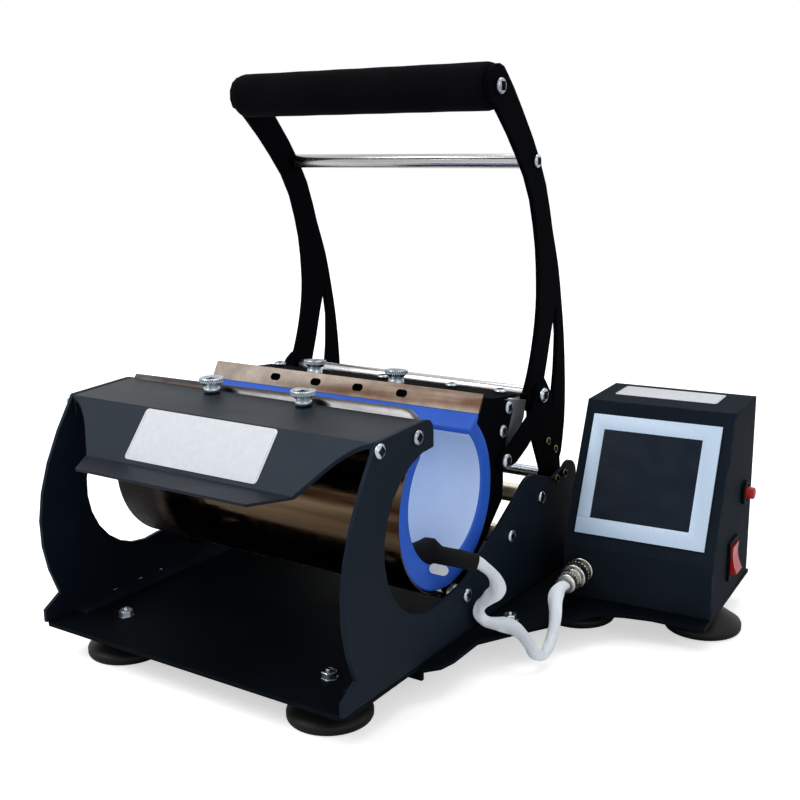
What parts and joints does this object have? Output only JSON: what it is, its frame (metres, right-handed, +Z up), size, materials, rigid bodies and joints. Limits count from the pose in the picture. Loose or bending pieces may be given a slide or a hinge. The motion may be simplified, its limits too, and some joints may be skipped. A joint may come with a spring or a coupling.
{
  "type": "double mug heat press",
  "caption": "Double mug heat press: split heating drum in a steel frame on rubber feet, lever handle with toggle links, and a touch control box on a side plate.",
  "frame": {"origin": "middle of the footprint at the bottom of the feet, without the loose lead", "axes": "+X along the drum towards the control box, +Y to the rear, +Z up"},
  "size_m": [0.434, 0.4062, 0.436],
  "materials": {
    "black_paint": "smooth satin powder coat",
    "hood_paint": "satin powder coat",
    "stainless": "bright rolled stainless sheet",
    "chrome": "polished",
    "zinc": "bright zinc plate",
    "cream_steel": "pale satin",
    "foam": "matte foam",
    "rubber": "matte",
    "blue_silicone": "satin silicone",
    "black_plastic": "satin",
    "gloss_black": "gloss",
    "pale_film": "satin printed film",
    "red_plastic": "gloss",
    "board_green": "satin",
    "glass_sleeve": "woven sleeve",
    "black_sleeve": "matte sleeve"
  },
  "bodies": {
    "press_frame": {"base_plate": "black_paint", "side_frame_left": "black_paint", "side_frame_right": "black_paint", "spacer_tube_front": "cream_steel", "spacer_tube_middle": "cream_steel", "spacer_tube_rear": "cream_steel", "pivot_shaft": "zinc", "front_hood": "hood_paint", "front_shell": "stainless", "heating_mat": "blue_silicone", "front_clamp_strip": "stainless", "carrier_plate": "black_paint", "foot_front_left": "rubber", "foot_front_right": "rubber", "foot_rear_left": "rubber", "foot_rear_right": "rubber", "foot_box_left": "rubber", "foot_box_right": "rubber", "control_box_cover": "black_paint", "control_box_body": "black_paint", "control_board": "board_green", "touch_panel_frame": "pale_film", "touch_screen": "gloss_black", "rocker_bezel": "black_plastic", "breaker_body": "black_plastic", "panel_socket": "zinc", "mains_inlet": "black_plastic", "cable_connector": "zinc", "lead_sleeve": "black_sleeve", "heater_lead": "glass_sleeve"},
    "handle": {"arm_left": "black_paint", "arm_right": "black_paint", "crank_plate_left": "black_paint", "crank_plate_right": "black_paint", "handle_rod": "chrome", "apex_rod": "chrome", "grip_tube": "zinc", "grip_foam": "foam", "apex_screw_left": "zinc", "apex_screw_right": "zinc", "grip_screw_left": "zinc", "grip_screw_right": "zinc"},
    "toggle_links": {"link_left": "black_paint", "link_right": "black_paint", "link_pin_left": "zinc", "link_pin_right": "zinc"},
    "rear_jaw": {"jaw_plate_left": "black_paint", "jaw_plate_right": "black_paint", "jaw_bracket_left": "stainless", "jaw_bracket_right": "stainless", "rear_shell": "stainless", "rear_clamp_strip": "stainless", "rear_top_plate": "black_paint"},
    "thumb_screw_front_left": {"thumb_screw_front_left": "zinc"},
    "thumb_screw_front_right": {"thumb_screw_front_right": "zinc"},
    "thumb_screw_rear_left": {"thumb_screw_rear_left": "zinc"},
    "thumb_screw_rear_right": {"thumb_screw_rear_right": "zinc"},
    "rocker": {"power_rocker": "red_plastic"},
    "reset_button": {"breaker_button": "red_plastic"}
  },
  "joints": [
    {"name": "handle_swing", "type": "hinge", "parent": "press_frame", "child": "handle", "pos_m": [-0.077, 0.13478, 0.1015], "axis": [1, 0, 0], "range_deg": [0, 40]},
    {"name": "link_swing", "type": "hinge", "parent": "handle", "child": "toggle_links", "pos_m": [-0.077, 0.10129, 0.1784], "axis": [1, 0, 0], "range_deg": [-93, 0]},
    {"name": "jaw_swing", "type": "hinge", "parent": "press_frame", "child": "rear_jaw", "pos_m": [-0.077, -0.03762, 0.0565], "axis": [1, 0, 0], "range_deg": [0, 29], "deforming": ["heating_mat"]},
    {"name": "front_screw_left_turn", "type": "hinge", "parent": "press_frame", "child": "thumb_screw_front_left", "pos_m": [-0.12, -0.09921, 0.199], "axis": [0, 0, 1], "continuous": true},
    {"name": "rear_screw_left_turn", "type": "hinge", "parent": "rear_jaw", "child": "thumb_screw_rear_left", "pos_m": [-0.1175, 0.02244, 0.18924], "axis": [0, 0.0872, 0.9962], "continuous": true},
    {"name": "front_screw_right_turn", "type": "hinge", "parent": "press_frame", "child": "thumb_screw_front_right", "pos_m": [-0.034, -0.09921, 0.199], "axis": [0, 0, 1], "continuous": true},
    {"name": "rear_screw_right_turn", "type": "hinge", "parent": "rear_jaw", "child": "thumb_screw_rear_right", "pos_m": [-0.0365, 0.02244, 0.18924], "axis": [0, 0.0872, 0.9962], "continuous": true},
    {"name": "rocker_tilt", "type": "hinge", "parent": "press_frame", "child": "rocker", "pos_m": [0.20307, 0.13716, 0.057], "axis": [-0.072, 0.9974, 0], "range_deg": [0, 18]},
    {"name": "reset_press", "type": "slide", "parent": "press_frame", "child": "reset_button", "axis": [-0.9974, -0.072, 0], "range_m": [0, 0.0025], "stiffness_N_per_m": 400}
  ],
  "couplings": [
    {"joint": "link_swing", "follows": "handle_swing", "ratio": -2.318},
    {"joint": "jaw_swing", "follows": "handle_swing", "ratio": 0.72049}
  ]
}
